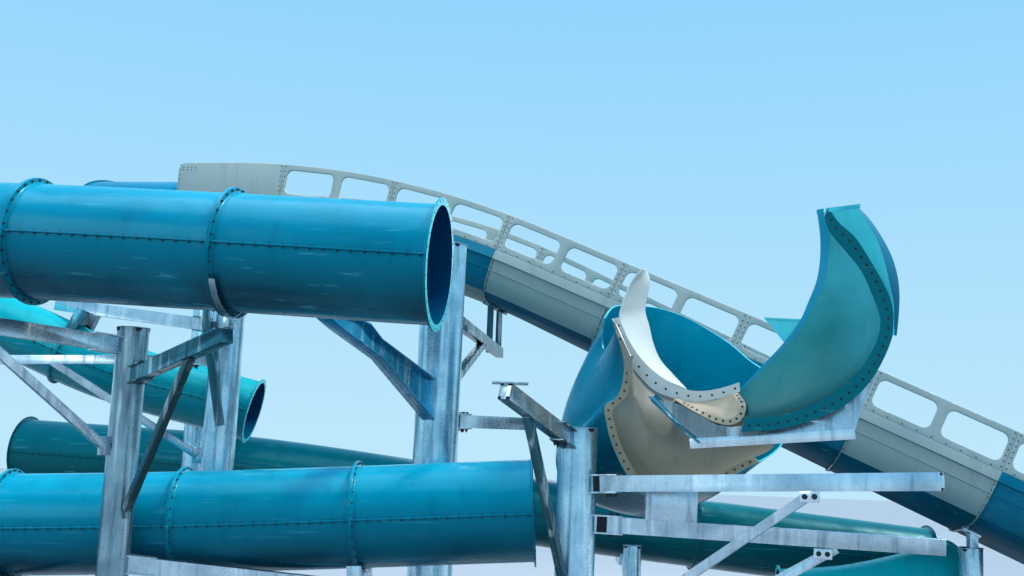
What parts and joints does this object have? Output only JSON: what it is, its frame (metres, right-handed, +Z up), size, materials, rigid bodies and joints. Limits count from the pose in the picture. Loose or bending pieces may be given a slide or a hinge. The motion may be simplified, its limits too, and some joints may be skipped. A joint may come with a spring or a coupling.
{
  "type": "water slide",
  "caption": "Water slide structure with flanged tube runs, an open raft trough with windowed guard rails and a banked bowl, carried by round steel columns and arms.",
  "frame": {"origin": "centre of the main column's base plate, at ground level", "axes": "+X to the right along the slides as seen in the picture, +Y away from the viewer, +Z up"},
  "size_m": [22.3785, 15.1022, 10.3649],
  "materials": {
    "turquoise_gelcoat": "moulded glass-fibre with a turquoise gelcoat",
    "teal_gelcoat": "moulded glass-fibre with a teal gelcoat",
    "blue_gelcoat": "moulded glass-fibre with a blue gelcoat",
    "cream_gelcoat": "moulded glass-fibre with a cream gelcoat",
    "galvanised_steel": "hot-dip galvanised steel"
  },
  "bodies": {
    "root": {"upper_tube_1": "turquoise_gelcoat", "upper_tube_2": "turquoise_gelcoat", "upper_tube_3": "turquoise_gelcoat", "lower_tube_1": "turquoise_gelcoat", "lower_tube_2": "turquoise_gelcoat", "lower_tube_3": "turquoise_gelcoat", "lower_tube_4": "turquoise_gelcoat", "rear_tube_1": "teal_gelcoat", "rear_tube_2": "teal_gelcoat", "rear_tube_3": "teal_gelcoat", "rear_tube_4": "teal_gelcoat", "body_slide_tube_1": "teal_gelcoat", "body_slide_tube_2": "teal_gelcoat", "exit_tube_1": "teal_gelcoat", "trough_section_1": "blue_gelcoat", "trough_section_2": "blue_gelcoat", "trough_section_3": "cream_gelcoat", "trough_section_4": "blue_gelcoat", "trough_section_5": "cream_gelcoat", "trough_section_6": "cream_gelcoat", "trough_section_7": "blue_gelcoat", "trough_section_8": "cream_gelcoat", "trough_section_9": "blue_gelcoat", "near_guard_rail_1": "cream_gelcoat", "far_guard_rail_1": "cream_gelcoat", "near_guard_rail_2": "cream_gelcoat", "far_guard_rail_2": "cream_gelcoat", "near_guard_rail_3": "cream_gelcoat", "far_guard_rail_3": "cream_gelcoat", "trough_hood": "blue_gelcoat", "main_column": "galvanised_steel", "left_column": "galvanised_steel", "middle_column": "galvanised_steel", "front_column": "galvanised_steel", "left_column_tube_arm": "galvanised_steel", "left_column_outer_arm": "galvanised_steel", "left_column_low_arm_right": "galvanised_steel", "left_column_low_arm_left": "galvanised_steel", "middle_column_upper_arm": "galvanised_steel", "middle_column_lower_arm": "galvanised_steel", "main_column_tube_haunch": "galvanised_steel", "main_column_trough_arm": "galvanised_steel", "main_column_free_arm": "galvanised_steel", "front_column_left_arm": "galvanised_steel", "front_beam": "galvanised_steel", "rear_beam": "galvanised_steel", "rear_column": "galvanised_steel", "small_post": "galvanised_steel", "right_post": "galvanised_steel", "end_post": "galvanised_steel", "bowl_wing": "teal_gelcoat", "bowl_flare": "blue_gelcoat", "bowl_front_shell": "cream_gelcoat", "bowl_rear_shell": "blue_gelcoat", "bowl_horn": "cream_gelcoat", "bowl_cradle": "galvanised_steel", "bowl_saddle": "galvanised_steel"}
  },
  "joints": []
}
